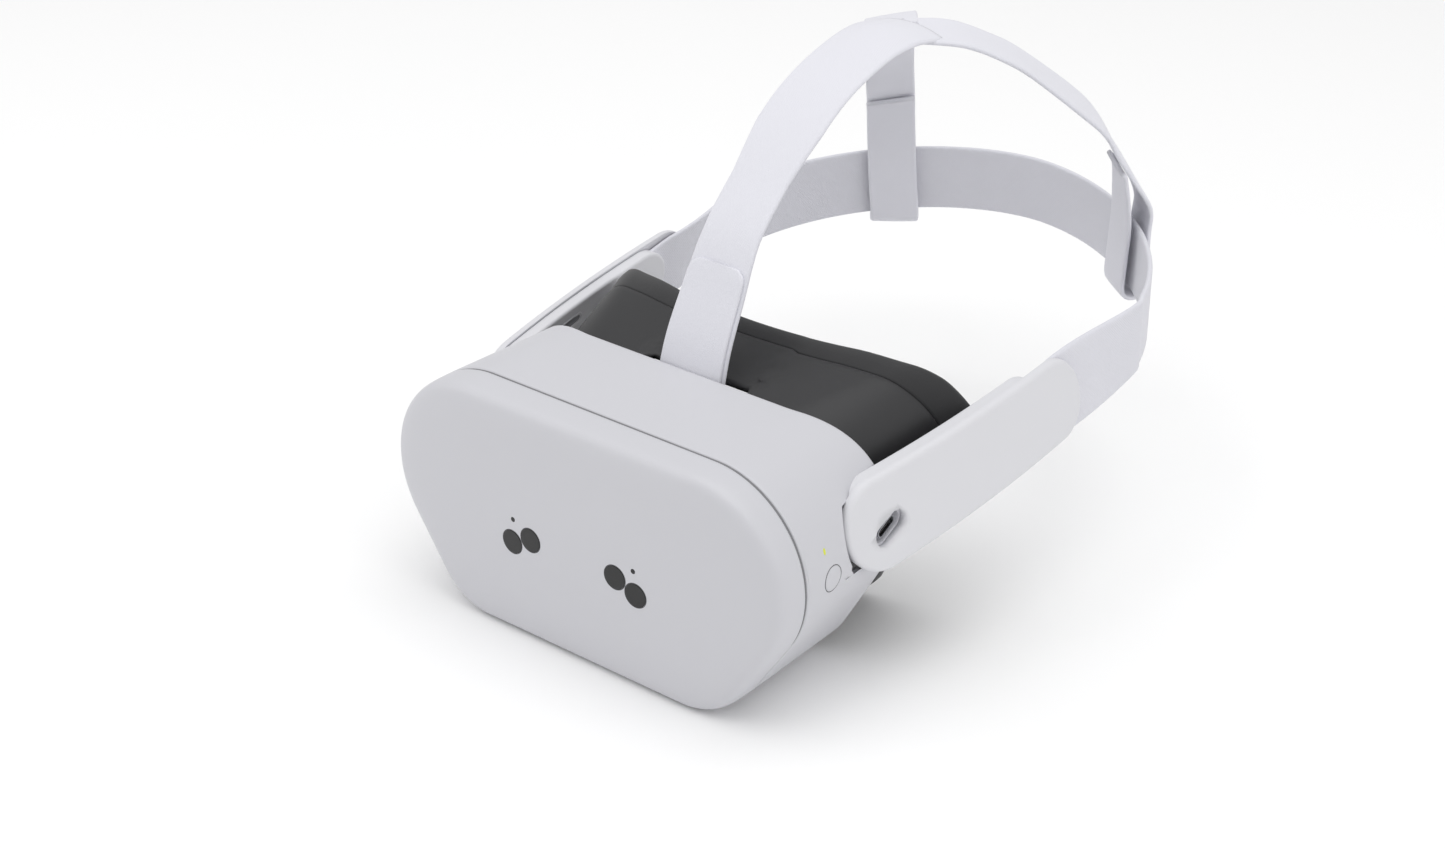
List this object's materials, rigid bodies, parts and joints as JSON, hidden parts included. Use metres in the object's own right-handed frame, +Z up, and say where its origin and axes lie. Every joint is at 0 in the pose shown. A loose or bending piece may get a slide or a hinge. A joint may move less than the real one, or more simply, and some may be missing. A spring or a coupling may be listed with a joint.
{
  "type": "vr headset",
  "caption": "Head-worn display with a domed visor, side buttons, padded face interface, hinged side arms, back strap and split top strap.",
  "frame": {"origin": "on the rest plane under the arm hinge axis, on the middle plane", "axes": "+X to the wearer's left, -Y out of the front visor, +Z up"},
  "size_m": [0.199, 0.2844, 0.1872],
  "materials": {
    "shell": "satin moulded",
    "white": "satin moulded",
    "gasket": "matt",
    "frame": "fine grain",
    "foam": "knitted cover",
    "strap": "woven elastic",
    "glossy": "polished",
    "lens": "polished",
    "steel": "brushed",
    "casting": "die cast",
    "black": "matt",
    "board": "solder mask",
    "sink": "extruded",
    "cell": "foil wrap",
    "screen": "polished",
    "grille": "woven mesh",
    "led": "clear",
    "bezel": "fine grain"
  },
  "bodies": {
    "head": {"front_visor": "shell", "seam_gasket": "gasket", "main_shell": "shell", "chassis": "black", "display_panel": "screen", "mainboard": "board", "heat_sink": "sink", "battery": "cell", "fan_housing": "black", "camera_modules": "black", "left_camera_window": "glossy", "right_camera_window": "glossy", "infrared_windows": "glossy", "status_led": "led", "rocker_pin": "steel", "lens_bezel": "bezel", "proximity_window": "glossy", "guide_rods": "steel", "interface_frame": "frame", "face_foam": "foam", "strap_anchor": "steel", "left_hinge_plate": "casting", "right_hinge_plate": "casting", "board_screws": "steel", "hinge_screws": "steel", "bezel_screws": "steel"},
    "fan": {"fan_rotor": "black"},
    "power": {"power_button": "white"},
    "rocker": {"volume_rocker": "white"},
    "action": {"action_button": "white"},
    "left_arm": {"left_arm_core": "white", "left_arm_cover": "white", "left_hinge_pin": "steel", "left_speaker": "black", "left_speaker_grille": "grille", "port_bezel": "white", "port_shell": "steel", "port_tongue": "black", "back_strap": "strap"},
    "right_arm": {"right_arm_core": "white", "right_arm_cover": "white", "right_hinge_pin": "steel", "right_speaker": "black", "right_speaker_grille": "grille"},
    "crown": {"top_strap": "strap", "top_strap_flap": "strap"},
    "left_optics": {"left_lens_carriage": "black", "left_lens": "lens"},
    "right_optics": {"right_lens_carriage": "black", "right_lens": "lens"}
  },
  "joints": [
    {"name": "left_arm_hinge", "type": "hinge", "parent": "head", "child": "left_arm", "pos_m": [0.08, 0, 0.063], "axis": [1, 0, 0], "range_deg": [-4, 4]},
    {"name": "right_arm_hinge", "type": "hinge", "parent": "head", "child": "right_arm", "pos_m": [-0.08, 0, 0.063], "axis": [1, 0, 0], "range_deg": [-4, 4]},
    {"name": "top_strap_hinge", "type": "hinge", "parent": "head", "child": "crown", "pos_m": [0, 0.0075, 0.0835], "axis": [1, 0, 0], "range_deg": [-4.2, 4.2]},
    {"name": "left_lens_slide", "type": "slide", "parent": "head", "child": "left_optics", "axis": [1, 0, 0], "range_m": [-0.0025, 0.0025]},
    {"name": "right_lens_slide", "type": "slide", "parent": "head", "child": "right_optics", "axis": [1, 0, 0], "range_m": [-0.0025, 0.0025]},
    {"name": "fan_spin", "type": "hinge", "parent": "head", "child": "fan", "pos_m": [0, -0.048, 0.066], "axis": [0, 1, 0], "continuous": true},
    {"name": "power_press", "type": "slide", "parent": "head", "child": "power", "axis": [-1, 0, 0], "range_m": [0, 0.0008], "stiffness_N_per_m": 800, "springref_m": -0.001},
    {"name": "rocker_tilt", "type": "hinge", "parent": "head", "child": "rocker", "pos_m": [0.038, -0.024, 0.006], "axis": [0, 1, 0], "range_deg": [-2, 2], "stiffness_Nm_per_rad": 0.1},
    {"name": "action_press", "type": "slide", "parent": "head", "child": "action", "axis": [0, 0, 1], "range_m": [0, 0.0006], "stiffness_N_per_m": 800, "springref_m": -0.001}
  ],
  "couplings": [
    {"joint": "right_arm_hinge", "follows": "left_arm_hinge", "ratio": 1},
    {"joint": "top_strap_hinge", "follows": "left_arm_hinge", "ratio": 1.04},
    {"joint": "right_lens_slide", "follows": "left_lens_slide", "ratio": -1}
  ]
}
